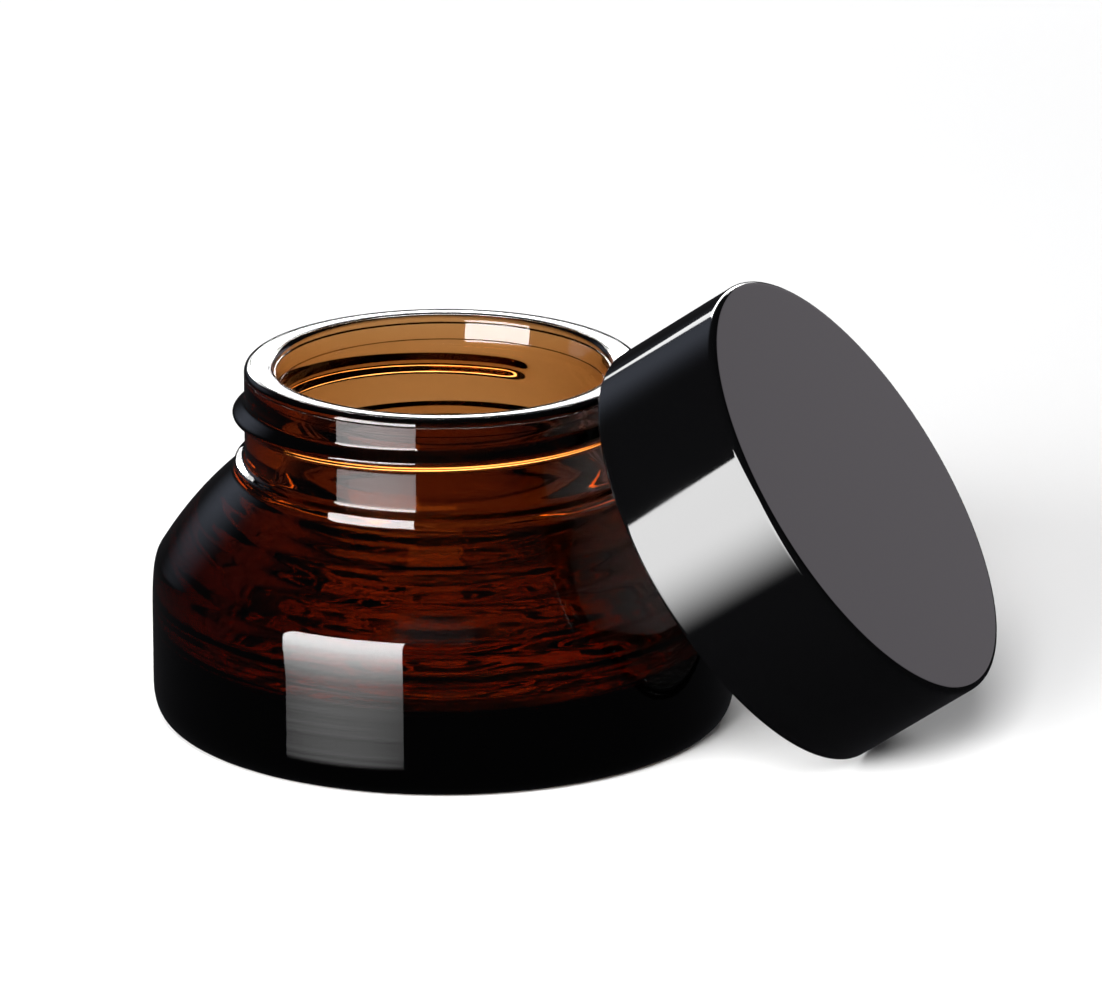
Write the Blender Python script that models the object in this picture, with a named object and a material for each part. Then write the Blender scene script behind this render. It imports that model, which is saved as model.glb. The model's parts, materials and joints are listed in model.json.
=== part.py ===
"""An empty cream jar of amber glass, open, with its black screw cap leaning on it.

Metres, +Z up. The origin is the centre of the jar's base, on the table.
The cap leans towards LEAN_HEADING: the lowest point of its lip stands on the table
and the inner edge of the lip hooks over the jar's rim.
"""

import math

import bmesh
import bpy
from mathutils import Matrix, Vector

# Glass jar
BODY_RADIUS = 0.0345
SHOULDER_FOOT = 0.01787
SHOULDER_BEND_RADIUS = 0.0302
SHOULDER_BEND = 0.02484
NECK_RADIUS = 0.0234
NECK_FOOT = 0.03095
STEP_RADIUS = 0.0246
STEP_FOOT_RADIUS = 0.0248
STEP_TOP = 0.0307
STEP_FOOT = 0.0295
RIM_HEIGHT = 0.0423
LIP_RADIUS = 0.0199
LIP_FOOT = 0.0386
MOUTH_RADIUS = 0.0191
THROAT_FOOT = 0.0308
CAVITY_SHOULDER = 0.0165
CAVITY_RADIUS = 0.0275
BASE_THICKNESS = 0.0078

# Thread: one start, right-handed. Angles run anticlockwise from +X, seen from above.
THREAD_PITCH = 0.0036
JAR_THREAD_CREST = 0.0248
JAR_THREAD_ROUND = 0.0015
JAR_THREAD_START = 58.0
JAR_THREAD_TURN = 330.0
JAR_THREAD_FOOT = 0.0353
CAP_THREAD_CREST = 0.0243
CAP_THREAD_ROUND = 0.0007
CAP_THREAD_FOOT = 0.0042
CAP_THREAD_TURN = 360.0

# Screw cap: heights are measured along its axis from the open end
CAP_RADIUS = 0.0273
CAP_HEIGHT = 0.0171
SHELL_WALL = 0.0012
INSERT_WALL = 0.0008
INSERT_TOP = 0.0010
LINER_RADIUS = 0.0246
LINER_THICKNESS = 0.0012
GAP = 0.0003

# Where the cap leans, and the hinge that carries it over the neck
LEAN_HEADING = math.radians(-17.24)
AXIS_SLOPE = math.radians(35.23)
CAP_REACH = 0.0367
HOVER_HEIGHT = 0.0500

SEGMENTS = 72
THREAD_STEPS_PER_TURN = 48
MERGE = 1e-6
SHARP_ANGLE = math.radians(35)


def clear_scene():
    for obj in list(bpy.data.objects):
        bpy.data.objects.remove(obj, do_unlink=True)


def principled(name, color, roughness, metallic=0.0):
    material = bpy.data.materials.new(name)
    material.use_nodes = True
    shader = material.node_tree.nodes["Principled BSDF"]
    shader.inputs["Base Color"].default_value = (*color, 1.0)
    shader.inputs["Roughness"].default_value = roughness
    shader.inputs["Metallic"].default_value = metallic
    material.diffuse_color = (*color, 1.0)
    return material


def outline(corners):
    """Points along (radius, height) corners. Each corner has the lengths cut off
    before and after it, and the steps of the curve that rounds it there."""
    points = []
    for i, (radius, height, before, after, steps) in enumerate(corners):
        corner = Vector((radius, height))
        if not steps:
            points.append(corner)
            continue
        start = corner + before * (Vector(corners[i - 1][:2]) - corner).normalized()
        end = corner + after * (Vector(corners[i + 1][:2]) - corner).normalized()
        for step in range(steps + 1):
            t = step / steps
            points.append((1 - t) ** 2 * start + 2 * t * (1 - t) * corner + t * t * end)
    return points


def turned(name, points, material):
    """A solid turned about Z from an outline that starts and ends on the axis."""
    shape = bmesh.new()
    verts = [shape.verts.new((p.x, 0.0, p.y)) for p in points]
    edges = [shape.edges.new(pair) for pair in zip(verts, verts[1:])]
    bmesh.ops.spin(
        shape,
        geom=verts + edges,
        cent=(0, 0, 0),
        axis=(0, 0, 1),
        angle=math.tau,
        steps=SEGMENTS,
        use_merge=True,
    )
    bmesh.ops.remove_doubles(shape, verts=shape.verts, dist=MERGE)
    bmesh.ops.recalc_face_normals(shape, faces=shape.faces)
    mesh = bpy.data.meshes.new(name)
    shape.to_mesh(mesh)
    shape.free()
    return add_object(name, mesh, material)


def add_object(name, mesh, material):
    mesh.materials.clear()
    mesh.materials.append(material)
    mesh.shade_smooth()
    mesh.set_sharp_from_angle(angle=SHARP_ANGLE)
    obj = bpy.data.objects.new(name, mesh)
    bpy.context.scene.collection.objects.link(obj)
    return obj


def thread_ridge(name, path_radius, round_radius, foot, start, turn, material):
    """A round ridge along a helix, fading out at both ends. It is hidden: a Boolean
    joins it to the wall that carries it."""
    steps = round(turn / 360 * THREAD_STEPS_PER_TURN)
    curve = bpy.data.curves.new(name, "CURVE")
    curve.dimensions = "3D"
    curve.bevel_depth = round_radius
    curve.bevel_resolution = 1
    curve.use_fill_caps = True
    spline = curve.splines.new("POLY")
    spline.points.add(steps)
    for step, point in enumerate(spline.points):
        along = step / steps
        angle = math.radians(start + turn * along)
        height = foot + THREAD_PITCH * turn / 360 * along
        point.co = (
            path_radius * math.cos(angle),
            path_radius * math.sin(angle),
            height,
            1.0,
        )
        degrees_to_end = turn * min(along, 1 - along)
        point.radius = 0.35 + 0.65 * min(1.0, degrees_to_end / 20)
    guide = bpy.data.objects.new(name + "_path", curve)
    mesh = bpy.data.meshes.new_from_object(guide)
    bpy.data.objects.remove(guide)
    bpy.data.curves.remove(curve)
    shape = bmesh.new()
    shape.from_mesh(mesh)
    bmesh.ops.remove_doubles(shape, verts=shape.verts, dist=MERGE)
    bmesh.ops.recalc_face_normals(shape, faces=shape.faces)
    shape.to_mesh(mesh)
    shape.free()
    ridge = add_object(name, mesh, material)
    ridge.hide_render = True
    ridge.display_type = "WIRE"
    return ridge


def join(obj, other):
    union = obj.modifiers.new("join_" + other.name, "BOOLEAN")
    union.operation = "UNION"
    union.solver = "EXACT"
    union.object = other


def make_glass_jar():
    glass = principled("amber_glass", (0.16, 0.045, 0.012), 0.04)
    corners = [
        (0.0, 0.0, 0, 0, 0),
        (BODY_RADIUS, 0.0, 0.0022, 0.0038, 4),
        (BODY_RADIUS, SHOULDER_FOOT, 0.0050, 0.0012, 5),
        (SHOULDER_BEND_RADIUS, SHOULDER_BEND, 0.0068, 0.0064, 4),
        (STEP_FOOT_RADIUS, STEP_FOOT, 0.0003, 0.0003, 2),
        (STEP_RADIUS, STEP_TOP, 0.0003, 0.0003, 2),
        (NECK_RADIUS, NECK_FOOT, 0.0006, 0.0006, 3),
        (NECK_RADIUS, RIM_HEIGHT, 0.0007, 0.0007, 3),
        (LIP_RADIUS, RIM_HEIGHT, 0.0005, 0.0005, 3),
        (MOUTH_RADIUS, LIP_FOOT, 0.0008, 0.0008, 2),
        (MOUTH_RADIUS, THROAT_FOOT, 0.0022, 0.0025, 4),
        (CAVITY_RADIUS, CAVITY_SHOULDER, 0.0040, 0.0030, 4),
        (CAVITY_RADIUS, BASE_THICKNESS, 0.0030, 0.0030, 4),
        (0.0, BASE_THICKNESS, 0, 0, 0),
    ]
    jar = turned("glass_jar", outline(corners), glass)
    ridge = thread_ridge(
        "jar_thread",
        JAR_THREAD_CREST - JAR_THREAD_ROUND,
        JAR_THREAD_ROUND,
        JAR_THREAD_FOOT,
        JAR_THREAD_START,
        JAR_THREAD_TURN,
        glass,
    )
    join(jar, ridge)
    return jar


def cup_outline(radius, foot, top, wall, roof, edge):
    """A cup with its opening down, its rounded edges worked out from one size."""
    return outline(
        [
            (0.0, top, 0, 0, 0),
            (radius, top, edge, edge, 3),
            (radius, foot, edge / 2, edge / 2, 2),
            (radius - wall, foot, edge / 4, edge / 4, 1),
            (radius - wall, top - roof, edge / 4, edge / 4, 1),
            (0.0, top - roof, 0, 0, 0),
        ]
    )


def make_cap_shell():
    black = principled("cap_black", (0.008, 0.008, 0.009), 0.18)
    profile = cup_outline(CAP_RADIUS, 0.0, CAP_HEIGHT, SHELL_WALL, SHELL_WALL, 0.0008)
    return turned("cap_shell", profile, black), profile


def make_cap_insert():
    black = principled("insert_plastic", (0.02, 0.02, 0.021), 0.40)
    radius = CAP_RADIUS - SHELL_WALL - GAP
    top = CAP_HEIGHT - SHELL_WALL - GAP
    profile = cup_outline(radius, GAP, top, INSERT_WALL, INSERT_TOP, 0.0006)
    insert = turned("cap_insert", profile, black)
    ridge = thread_ridge(
        "cap_thread",
        CAP_THREAD_CREST + CAP_THREAD_ROUND,
        CAP_THREAD_ROUND,
        CAP_THREAD_FOOT,
        0.0,
        CAP_THREAD_TURN,
        black,
    )
    join(insert, ridge)
    return insert, ridge


def make_cap_liner():
    foam = principled("liner_foam", (0.80, 0.80, 0.78), 0.75)
    top = CAP_HEIGHT - SHELL_WALL - GAP - INSERT_TOP - GAP
    foot = top - LINER_THICKNESS
    corners = [
        (0.0, foot, 0, 0, 0),
        (LINER_RADIUS, foot, 0.0002, 0.0002, 1),
        (LINER_RADIUS, top, 0.0002, 0.0002, 1),
        (0.0, top, 0, 0, 0),
    ]
    return turned("cap_liner", outline(corners), foam)


def empty(name, parent, matrix):
    holder = bpy.data.objects.new(name, None)
    bpy.context.scene.collection.objects.link(holder)
    holder.parent = parent
    holder.matrix_local = matrix
    return holder


def cap_holders(shell_profile):
    """The empty on the hinge that swings the cap over the neck, and on it the empty
    on the cap's own axis. In the hinge's frame +X is the direction the cap leans."""
    drop = max(
        p.x * math.cos(AXIS_SLOPE) - p.y * math.sin(AXIS_SLOPE) for p in shell_profile
    )
    leaning = Vector((CAP_REACH, drop))
    hovering = Vector((0.0, HOVER_HEIGHT))
    swing = math.pi / 2 - AXIS_SLOPE
    step = hovering - leaning
    pivot = (leaning + hovering) / 2 + Vector((-step.y, step.x)) / (
        2 * math.tan(swing / 2)
    )
    heading = Matrix.Rotation(LEAN_HEADING, 4, "Z")
    at_pivot = Matrix.Translation((pivot.x, 0.0, pivot.y))
    hinge = empty("cap_swing_axis", None, heading @ at_pivot)
    from_pivot = Matrix.Translation((leaning.x - pivot.x, 0.0, leaning.y - pivot.y))
    tilt = Matrix.Rotation(swing, 4, "Y")
    return empty("cap_turn_axis", hinge, from_pivot @ tilt)


def main():
    clear_scene()
    make_glass_jar()
    shell, shell_profile = make_cap_shell()
    insert, insert_thread = make_cap_insert()
    liner = make_cap_liner()
    cap_axis = cap_holders(shell_profile)
    for piece in (shell, insert, insert_thread, liner):
        piece.parent = cap_axis


main()
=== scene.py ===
"""The finish of an open amber cream jar and its leaning black cap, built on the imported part."""

import json
import math

import bmesh
import bpy
from mathutils import Matrix, Vector, noise


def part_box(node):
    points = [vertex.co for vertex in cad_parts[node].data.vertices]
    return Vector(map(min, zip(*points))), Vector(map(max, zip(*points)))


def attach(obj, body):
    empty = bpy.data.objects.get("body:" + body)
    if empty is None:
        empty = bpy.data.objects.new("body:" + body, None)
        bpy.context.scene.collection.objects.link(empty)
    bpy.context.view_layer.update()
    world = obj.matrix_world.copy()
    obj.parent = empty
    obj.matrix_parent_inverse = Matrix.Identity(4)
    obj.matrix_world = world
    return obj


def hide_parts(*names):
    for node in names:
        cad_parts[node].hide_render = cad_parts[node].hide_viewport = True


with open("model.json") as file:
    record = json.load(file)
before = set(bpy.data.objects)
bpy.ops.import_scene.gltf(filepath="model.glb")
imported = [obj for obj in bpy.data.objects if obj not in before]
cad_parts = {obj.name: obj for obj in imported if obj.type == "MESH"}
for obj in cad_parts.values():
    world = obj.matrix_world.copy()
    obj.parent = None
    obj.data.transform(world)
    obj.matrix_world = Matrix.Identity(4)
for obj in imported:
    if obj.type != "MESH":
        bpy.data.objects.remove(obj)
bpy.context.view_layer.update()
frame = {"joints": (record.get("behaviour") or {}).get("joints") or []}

# Glass jar. Lengths are in metres, heights from the table.
jar_low, jar_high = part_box("glass_jar")
BODY_RADIUS = jar_high.x
RIM_HEIGHT = jar_high.z
SHOULDER_FOOT = 0.01787
SHOULDER_BEND_RADIUS = 0.0302
SHOULDER_BEND = 0.02484
NECK_RADIUS = 0.0234
NECK_FOOT = 0.03095
STEP_RADIUS = 0.0246
STEP_FOOT_RADIUS = 0.0248
STEP_TOP = 0.0307
STEP_FOOT = 0.0295
LIP_RADIUS = 0.0199
LIP_FOOT = 0.0386
MOUTH_RADIUS = 0.0191
THROAT_FOOT = 0.0308
CAVITY_SHOULDER = 0.0165
CAVITY_RADIUS = 0.0275
BASE_THICKNESS = 0.0078

# Threads: angles in degrees, anticlockwise from +X. Each ridge is a smooth swelling of its wall.
THREAD_PITCH = 0.0036
JAR_THREAD_HEIGHT = 0.0014
JAR_THREAD_HALF_WIDTH = 0.0015
JAR_THREAD_START = 58.0
JAR_THREAD_TURN = 330.0
JAR_THREAD_FOOT = 0.0353
CAP_THREAD_HEIGHT = 0.0007
CAP_THREAD_HALF_WIDTH = 0.0008
CAP_THREAD_FOOT = 0.0042
CAP_THREAD_TURN = 360.0
THREAD_FADE = 14.0

# What pressing and fire-polishing leave in the glass
CAVITY_WAVES_FOOT = 0.0095
CAVITY_WAVES_TOP = 0.0320
CAVITY_WAVE_LENGTH = 0.0044
CAVITY_WAVE_HEIGHT = 0.00013
FLOOR_WAVE_LENGTH = 0.0068
FLOOR_WAVE_HEIGHT = 0.00009
FLOOR_WAVE_DRIFT = 0.6
WAVES_FADE = 0.003
SLOW_DRIFT = 0.0003
QUICK_DRIFT = 0.0001
RIM_CROWN = 0.00024
RIM_DEPTH = 0.0008

# Screw cap: heights are measured along its axis from the open end
CAP_RADIUS = 0.0273
COVER_RADIUS = 0.02727
CAP_HEIGHT = 0.0171
SHELL_WALL = 0.0012
INSERT_WALL = 0.0008
INSERT_TOP = 0.0010
LINER_RADIUS = 0.0246
LINER_THICKNESS = 0.0012
GAP = 0.0003

# Mesh
GLASS_STEPS = 240
GLASS_ROWS = 28
NECK_ROWS = 60
CAP_STEPS = 192
INSERT_ROWS = 80
GUARD = 0.00012
MERGE = 1e-7

# Studio: places are azimuth and elevation in degrees round a point above the jar's base
AIM_HEIGHT = 0.03
FLOOR_SIZE = 6.0
FLOOR_CLEARANCE = 0.0001
CAMERA_PLACE = (0.0127, -0.9841, 0.3369)
CAMERA_DIP = 17.57
CAMERA_LENS = 285.58


# ---------------------------------------------------------------- turned shapes


def outline(corners):
    """Points along (radius, height) corners, each rounded over the lengths before and after it."""
    points = []
    for i, (radius, height, before, after, steps) in enumerate(corners):
        corner = Vector((radius, height))
        if not steps:
            points.append(corner)
            continue
        start = corner + before * (Vector(corners[i - 1][:2]) - corner).normalized()
        end = corner + after * (Vector(corners[i + 1][:2]) - corner).normalized()
        for step in range(steps + 1):
            t = step / steps
            points.append((1 - t) ** 2 * start + 2 * t * (1 - t) * corner + t * t * end)
    return points


def guarded(points, rows=1):
    """The outline with a guard row just inside each straight stretch, so that flats shade flat."""
    out = [points[0]]
    for a, b in zip(points, points[1:]):
        length = (b - a).length
        if length > 6 * GUARD:
            way = (b - a).normalized()
            out.append(a + way * GUARD)
            for row in range(1, rows):
                out.append(a.lerp(b, row / rows))
            out.append(b - way * GUARD)
        out.append(b)
    return out


def turned(points, steps):
    """A bmesh turned about Z from an outline that starts and ends on the axis."""
    shape = bmesh.new()
    verts = [shape.verts.new((p.x, 0.0, p.y)) for p in points]
    edges = [shape.edges.new(pair) for pair in zip(verts, verts[1:])]
    bmesh.ops.spin(
        shape, geom=verts + edges, cent=(0, 0, 0), axis=(0, 0, 1), angle=math.tau, steps=steps, use_merge=True
    )
    bmesh.ops.remove_doubles(shape, verts=shape.verts, dist=MERGE)
    bmesh.ops.recalc_face_normals(shape, faces=shape.faces)
    return shape


def finished(name, shape, place, material, body, node):
    """The piece's object: its place in its mesh, riding on its body, in place of its CAD node."""
    shape.transform(place)
    mesh = bpy.data.meshes.new(name)
    shape.to_mesh(mesh)
    shape.free()
    mesh.materials.append(material)
    mesh.shade_smooth()
    piece = bpy.data.objects.new(name, mesh)
    bpy.context.scene.collection.objects.link(piece)
    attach(piece, body)
    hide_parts(node)
    return piece


# ---------------------------------------------------------------- materials


def new_material(name):
    material = bpy.data.materials.new(name)
    material.use_nodes = True
    tree = material.node_tree
    return material, tree, tree.nodes["Principled BSDF"]


def object_noise(tree, scale, detail):
    """Noise in the piece's own space, as a node output."""
    place = tree.nodes.new("ShaderNodeTexCoord")
    cloud = tree.nodes.new("ShaderNodeTexNoise")
    cloud.inputs["Scale"].default_value = scale
    cloud.inputs["Detail"].default_value = detail
    tree.links.new(place.outputs["Object"], cloud.inputs["Vector"])
    return cloud.outputs["Fac"]


def ranged(tree, source, low, high):
    """Spreads the middle of a noise, where nearly all of it lies, over low to high."""
    spread = tree.nodes.new("ShaderNodeMapRange")
    spread.inputs["From Min"].default_value = 0.35
    spread.inputs["From Max"].default_value = 0.65
    spread.inputs["To Min"].default_value = low
    spread.inputs["To Max"].default_value = high
    tree.links.new(source, spread.inputs["Value"])
    return spread.outputs["Result"]


def bump(tree, height, distance, onto=None):
    node = tree.nodes.new("ShaderNodeBump")
    node.inputs["Strength"].default_value = 1.0
    node.inputs["Distance"].default_value = distance
    tree.links.new(height, node.inputs["Height"])
    if onto is not None:
        tree.links.new(onto, node.inputs["Normal"])
    return node.outputs["Normal"]


def amber_glass():
    """Clear dark amber glass, coloured by its thickness, with faint level streaks and waves."""
    material, tree, shader = new_material("amber_glass")
    shader.inputs["Base Color"].default_value = (1.0, 1.0, 1.0, 1.0)
    shader.inputs["Transmission Weight"].default_value = 1.0
    shader.inputs["IOR"].default_value = 1.52
    smears = object_noise(tree, 90.0, 3.0)
    tree.links.new(ranged(tree, smears, 0.0, 0.03), shader.inputs["Roughness"])
    place = tree.nodes.new("ShaderNodeTexCoord")
    flat = tree.nodes.new("ShaderNodeMapping")
    flat.inputs["Scale"].default_value = (6.0, 6.0, 500.0)
    tree.links.new(place.outputs["Object"], flat.inputs["Vector"])
    streaks = tree.nodes.new("ShaderNodeTexNoise")
    streaks.inputs["Scale"].default_value = 1.0
    streaks.inputs["Detail"].default_value = 3.0
    tree.links.new(flat.outputs["Vector"], streaks.inputs["Vector"])
    level = bump(tree, streaks.outputs["Fac"], 0.000015)
    waves = object_noise(tree, 70.0, 1.0)
    tree.links.new(bump(tree, waves, 0.000015, onto=level), shader.inputs["Normal"])
    depth = tree.nodes.new("ShaderNodeVolumeAbsorption")
    depth.inputs["Color"].default_value = (0.67, 0.40, 0.0, 1.0)
    depth.inputs["Density"].default_value = 750.0
    tree.links.new(depth.outputs["Volume"], tree.nodes["Material Output"].inputs["Volume"])
    return material


def cap_black():
    """Black gloss plastic with a very fine grain."""
    material, tree, shader = new_material("cap_black")
    shader.inputs["Base Color"].default_value = (0.0009, 0.0009, 0.001, 1.0)
    smears = object_noise(tree, 60.0, 4.0)
    tree.links.new(ranged(tree, smears, 0.035, 0.06), shader.inputs["Roughness"])
    grain = object_noise(tree, 7000.0, 2.0)
    tree.links.new(bump(tree, grain, 0.0000006), shader.inputs["Normal"])
    return material


def insert_plastic():
    """Plain black moulding, duller than the cap's cover."""
    material, tree, shader = new_material("insert_plastic")
    shader.inputs["Base Color"].default_value = (0.012, 0.012, 0.013, 1.0)
    smears = object_noise(tree, 200.0, 3.0)
    tree.links.new(ranged(tree, smears, 0.30, 0.42), shader.inputs["Roughness"])
    grain = object_noise(tree, 6000.0, 2.0)
    tree.links.new(bump(tree, grain, 0.000006), shader.inputs["Normal"])
    return material


def liner_foam():
    """White closed-cell foam with its cells just showing."""
    material, tree, shader = new_material("liner_foam")
    cells = object_noise(tree, 2500.0, 3.0)
    tone = tree.nodes.new("ShaderNodeMix")
    tone.data_type = "RGBA"
    tone.inputs[6].default_value = (0.72, 0.72, 0.70, 1.0)
    tone.inputs[7].default_value = (0.84, 0.84, 0.82, 1.0)
    tree.links.new(ranged(tree, cells, 0.0, 1.0), tone.inputs[0])
    tree.links.new(tone.outputs[2], shader.inputs["Base Color"])
    shader.inputs["Roughness"].default_value = 0.7
    tree.links.new(bump(tree, cells, 0.00003), shader.inputs["Normal"])
    return material


# ---------------------------------------------------------------- the jar


def fade(value):
    """0 below 0, 1 above 1, smooth between."""
    value = min(1.0, max(0.0, value))
    return value * value * (3 - 2 * value)


def raise_thread(shape, wall, lift, half_width, foot, start, turn):
    """Moves a wall along a helix into one rounded ridge, outwards or inwards, fading out at both ends."""
    for vert in shape.verts:
        radius = math.hypot(vert.co.x, vert.co.y)
        if abs(radius - wall) > 1e-5:
            continue
        past_start = (math.degrees(math.atan2(vert.co.y, vert.co.x)) - start) % 360
        ridge = 0.0
        for along in (past_start, past_start - 360, past_start + 360):
            if not -1 < along < turn + 1:
                continue
            off = abs(vert.co.z - foot - THREAD_PITCH * along / 360)
            if off < half_width:
                ends = fade(along / THREAD_FADE) * fade((turn - along) / THREAD_FADE)
                ridge = max(ridge, ends * (0.5 + 0.5 * math.cos(math.pi * off / half_width)))
        vert.co.xy *= (radius + lift * ridge) / radius


def ripple_cavity(shape):
    """Gives the cavity's wall and floor the slow level waves that pressing leaves inside thick glass."""
    for vert in shape.verts:
        radius = math.hypot(vert.co.x, vert.co.y)
        height = vert.co.z
        if radius < CAVITY_RADIUS and abs(height - BASE_THICKNESS) < 1e-5:
            fit = fade((CAVITY_RADIUS - WAVES_FADE - radius) / WAVES_FADE)
            drift = FLOOR_WAVE_DRIFT * noise.noise(vert.co * 60.0)
            vert.co.z += FLOOR_WAVE_HEIGHT * fit * math.sin(math.tau * radius / FLOOR_WAVE_LENGTH + drift)
            continue
        fit = fade((height - CAVITY_WAVES_FOOT) / WAVES_FADE) * fade((CAVITY_WAVES_TOP - height) / WAVES_FADE)
        if not fit or radius > NECK_RADIUS + (CAVITY_RADIUS - NECK_RADIUS) * 1.1:
            continue
        if radius < MOUTH_RADIUS - 1e-4 or height > SHOULDER_FOOT and radius > wall_at(height):
            continue
        angle = math.atan2(vert.co.y, vert.co.x)
        way = Vector((math.cos(angle), math.sin(angle), 0.0))
        drift = SLOW_DRIFT * noise.noise(way * 1.3 + Vector((0.0, 0.0, 2.0)))
        drift += QUICK_DRIFT * noise.noise(way * 4.0 + Vector((0.0, 0.0, height * 90)))
        wave = math.sin(math.tau * (height + drift) / CAVITY_WAVE_LENGTH)
        wave += 0.5 * math.sin(math.tau * (height + 2 * drift) / (CAVITY_WAVE_LENGTH * 0.43) + 1.0)
        vert.co.xy *= (radius + CAVITY_WAVE_HEIGHT * wave * fit) / radius


def crown_rim(shape):
    """Lets the flat of the rim fall away slightly towards both of its edges, as fire-polished glass does."""
    middle = (NECK_RADIUS + LIP_RADIUS) / 2
    for vert in shape.verts:
        if vert.co.z > RIM_HEIGHT - RIM_DEPTH:
            off = (math.hypot(vert.co.x, vert.co.y) - middle) / (NECK_RADIUS - middle)
            vert.co.z -= RIM_CROWN * off * off


def wall_at(height):
    """A radius halfway through the shoulder's wall at this height."""
    along = (height - SHOULDER_FOOT) / (NECK_FOOT - SHOULDER_FOOT)
    outer = BODY_RADIUS + (STEP_RADIUS - BODY_RADIUS) * along
    inner = CAVITY_RADIUS + (MOUTH_RADIUS - CAVITY_RADIUS) * along
    return (outer + inner) / 2


def make_jar(material):
    below = outline(
        [
            (0.0, 0.0, 0, 0, 0),
            (BODY_RADIUS, 0.0, 0.0022, 0.0038, 16),
            (BODY_RADIUS, SHOULDER_FOOT, 0.0050, 0.0012, 20),
            (SHOULDER_BEND_RADIUS, SHOULDER_BEND, 0.0068, 0.0064, 16),
            (STEP_FOOT_RADIUS, STEP_FOOT, 0.0003, 0.0003, 6),
            (STEP_RADIUS, STEP_TOP, 0.0003, 0.0003, 6),
            (NECK_RADIUS, NECK_FOOT, 0.0006, 0.0006, 8),
            (NECK_RADIUS, RIM_HEIGHT, 0, 0, 0),
        ]
    )[:-1]
    above = outline(
        [
            (NECK_RADIUS, NECK_FOOT, 0, 0, 0),
            (NECK_RADIUS, RIM_HEIGHT, 0.0007, 0.0007, 8),
            (LIP_RADIUS, RIM_HEIGHT, 0.0005, 0.0005, 8),
            (MOUTH_RADIUS, LIP_FOOT, 0.0008, 0.0008, 8),
            (MOUTH_RADIUS, THROAT_FOOT, 0.0022, 0.0025, 12),
            (CAVITY_RADIUS, CAVITY_SHOULDER, 0.0040, 0.0030, 12),
            (CAVITY_RADIUS, BASE_THICKNESS, 0.0030, 0.0030, 12),
            (0.0, BASE_THICKNESS, 0, 0, 0),
        ]
    )[1:]
    neck = [below[-1].lerp(above[0], row / NECK_ROWS) for row in range(1, NECK_ROWS)]
    shape = turned(guarded(below) + neck + guarded(above, GLASS_ROWS), GLASS_STEPS)
    raise_thread(
        shape,
        NECK_RADIUS,
        JAR_THREAD_HEIGHT,
        JAR_THREAD_HALF_WIDTH,
        JAR_THREAD_FOOT,
        JAR_THREAD_START,
        JAR_THREAD_TURN,
    )
    ripple_cavity(shape)
    crown_rim(shape)
    return finished("jar_glass", shape, Matrix(), material, "jar", "glass_jar")


# ---------------------------------------------------------------- the cap


def cap_place():
    """The cap's frame: origin at the centre of its open end, +Z along its axis, +X down its slope."""
    joint = next(j for j in frame["joints"] if j["name"] == "cap_turn")
    up = Vector(joint["axis"]).normalized()
    across = Vector((0, 0, 1)).cross(up).normalized()
    down = across.cross(up)
    turn = Matrix((down, across, up)).transposed()
    return Matrix.Translation(joint["pos_m"]) @ turn.to_4x4()


def cup(radius, foot, top, wall, roof, edge, rows=1):
    """A cup with its opening down, its rounded edges worked out from one size."""
    return guarded(
        outline(
            [
                (0.0, top, 0, 0, 0),
                (radius, top, edge, edge, 10),
                (radius, foot, edge / 2, edge / 2, 6),
                (radius - wall, foot, edge / 4, edge / 4, 4),
                (radius - wall, top - roof, edge / 4, edge / 4, 4),
                (0.0, top - roof, 0, 0, 0),
            ]
        ),
        rows,
    )


def make_cap(place):
    shell = turned(cup(COVER_RADIUS, 0.0, CAP_HEIGHT, SHELL_WALL, SHELL_WALL, 0.0008), CAP_STEPS)
    finished("cap_cover", shell, place, cap_black(), "cap", "cap_shell")
    radius = CAP_RADIUS - SHELL_WALL - GAP
    top = CAP_HEIGHT - SHELL_WALL - GAP
    insert = turned(cup(radius, GAP, top, INSERT_WALL, INSERT_TOP, 0.0006, INSERT_ROWS), CAP_STEPS)
    raise_thread(
        insert,
        radius - INSERT_WALL,
        -CAP_THREAD_HEIGHT,
        CAP_THREAD_HALF_WIDTH,
        CAP_THREAD_FOOT,
        0.0,
        CAP_THREAD_TURN,
    )
    finished("cap_thread_cup", insert, place, insert_plastic(), "cap", "cap_insert")
    top -= INSERT_TOP + GAP
    wad = outline(
        [
            (0.0, top - LINER_THICKNESS, 0, 0, 0),
            (LINER_RADIUS, top - LINER_THICKNESS, 0.0002, 0.0002, 4),
            (LINER_RADIUS, top, 0.0002, 0.0002, 4),
            (0.0, top, 0, 0, 0),
        ]
    )
    finished(
        "cap_wad", turned(guarded(wad), CAP_STEPS), place, liner_foam(), "liner", "cap_liner"
    )


# ---------------------------------------------------------------- studio


def make_floor():
    shape = bmesh.new()
    bmesh.ops.create_grid(shape, x_segments=2, y_segments=2, size=FLOOR_SIZE)
    mesh = bpy.data.meshes.new("studio_floor")
    shape.to_mesh(mesh)
    shape.free()
    material, tree, shader = new_material("pale_floor")
    shader.inputs["Base Color"].default_value = (0.86, 0.86, 0.86, 1.0)
    shader.inputs["Roughness"].default_value = 0.9
    shader.inputs["Specular IOR Level"].default_value = 0.0
    mesh.materials.append(material)
    mesh.transform(Matrix.Translation((0, 0, -FLOOR_CLEARANCE)))
    floor = bpy.data.objects.new("studio_floor", mesh)
    floor.visible_glossy = False
    bpy.context.scene.collection.objects.link(floor)


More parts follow.
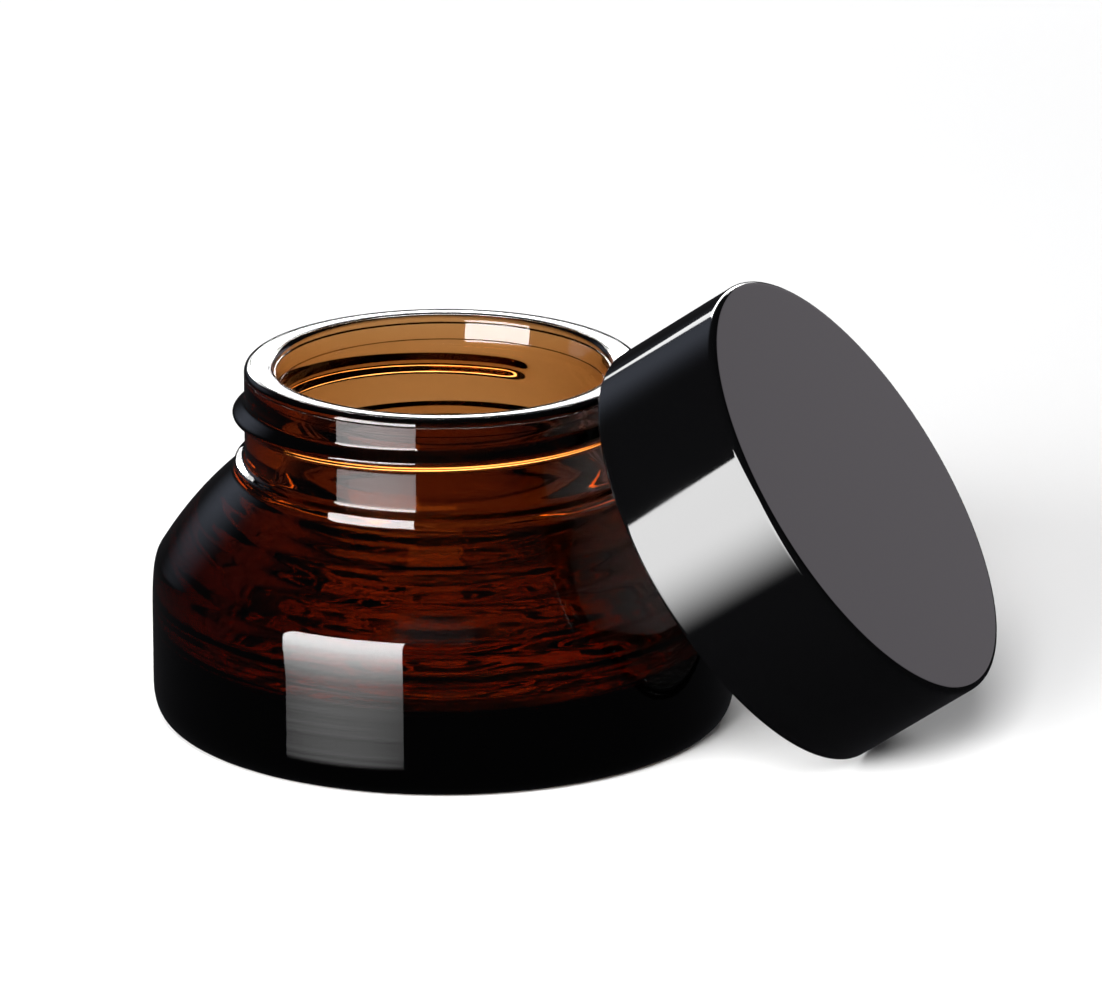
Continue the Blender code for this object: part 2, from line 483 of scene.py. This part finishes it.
def panel(name, azimuth, elevation, distance, width, height, brightness, color=(1, 1, 1)):
    """A soft panel facing the jar. Azimuth 0 is the camera's side, and it grows clockwise from above."""
    light = bpy.data.lights.new(name, "AREA")
    light.shape = "RECTANGLE"
    light.size = width
    light.size_y = height
    light.energy = brightness * math.pi * width * height
    light.color = color
    lamp = bpy.data.objects.new(name, light)
    a, e = math.radians(azimuth), math.radians(elevation)
    place = Vector((-math.sin(a) * math.cos(e), -math.cos(a) * math.cos(e), math.sin(e))) * distance
    place.z += AIM_HEIGHT
    lamp.location = place
    lamp.rotation_euler = (Vector((0, 0, AIM_HEIGHT)) - place).to_track_quat("-Z", "Y").to_euler()
    lamp.visible_camera = False
    bpy.context.scene.collection.objects.link(lamp)
    return lamp


def fade_panel(lamp, fades):
    """Dims a panel smoothly along its width (X) or height (Y), from each dark place to each bright one."""
    light = lamp.data
    light.use_nodes = True
    tree = light.node_tree
    place = tree.nodes.new("ShaderNodeTexCoord")
    split = tree.nodes.new("ShaderNodeSeparateXYZ")
    tree.links.new(place.outputs["UV"], split.inputs["Vector"])
    strength = None
    for axis, dark_at, bright_at in fades:
        spread = tree.nodes.new("ShaderNodeMapRange")
        spread.interpolation_type = "SMOOTHSTEP"
        spread.inputs["From Min"].default_value = min(dark_at, bright_at)
        spread.inputs["From Max"].default_value = max(dark_at, bright_at)
        spread.inputs["To Min"].default_value = float(dark_at > bright_at)
        spread.inputs["To Max"].default_value = float(dark_at < bright_at)
        tree.links.new(split.outputs[axis], spread.inputs["Value"])
        if strength is None:
            strength = spread.outputs["Result"]
            continue
        product = tree.nodes.new("ShaderNodeMath")
        product.operation = "MULTIPLY"
        tree.links.new(strength, product.inputs[0])
        tree.links.new(spread.outputs["Result"], product.inputs[1])
        strength = product.outputs["Value"]
    tree.links.new(strength, tree.nodes["Emission"].inputs["Strength"])


def make_lights():
    """A softbox at the left front, panels behind for rim and shoulders, and a world that reflects dark."""
    side = panel("side_softbox", 38.5, 0.0, 0.5, 0.44, 0.58, 17.4)
    fade_panel(side, [("Y", 0.08, 0.56)])
    panel("back_strip", 180.0, 19.5, 1.2, 0.9, 0.17, 14.0)
    rim_light = panel("rim_panel", 180.0, 19.0, 1.19, 0.9, 0.36, 4.0)
    rim_light.visible_transmission = False
    left = panel("back_left_panel", 146.0, 16.0, 1.2, 1.1, 0.9, 0.36, color=(0.72, 0.80, 1.0))
    fade_panel(left, [("X", 0.0, 0.5), ("X", 1.0, 0.5), ("Y", 0.05, 0.55), ("Y", 1.0, 0.6)])
    panel("back_right_panel", 218.0, 10.0, 1.2, 0.6, 0.4, 0.62, color=(1.0, 0.93, 1.01))
    key = panel("front_key", 5.0, 38.0, 1.5, 0.7, 0.7, 17.0)
    key.visible_glossy = False
    world = bpy.data.worlds.new("studio")
    world.use_nodes = True
    tree = world.node_tree
    back = tree.nodes["Background"]
    back.inputs["Color"].default_value = (0.9, 0.9, 0.9, 1.0)
    dark = tree.nodes.new("ShaderNodeBackground")
    dark.inputs["Color"].default_value = (0.02, 0.02, 0.022, 1.0)
    ray = tree.nodes.new("ShaderNodeLightPath")
    mix = tree.nodes.new("ShaderNodeMixShader")
    tree.links.new(ray.outputs["Is Camera Ray"], mix.inputs["Fac"])
    tree.links.new(dark.outputs["Background"], mix.inputs[1])
    tree.links.new(back.outputs["Background"], mix.inputs[2])
    tree.links.new(mix.outputs["Shader"], tree.nodes["World Output"].inputs["Surface"])
    bpy.context.scene.world = world


def make_camera():
    data = bpy.data.cameras.new("camera")
    data.sensor_width = 36.0
    data.lens = CAMERA_LENS
    camera = bpy.data.objects.new("camera", data)
    camera.location = CAMERA_PLACE
    camera.rotation_euler = (math.radians(90 - CAMERA_DIP), 0.0, 0.0)
    bpy.context.scene.collection.objects.link(camera)
    bpy.context.scene.camera = camera


make_jar(amber_glass())
make_cap(cap_place())
make_floor()
make_lights()
make_camera()
bpy.context.scene.view_settings.view_transform = "Standard"
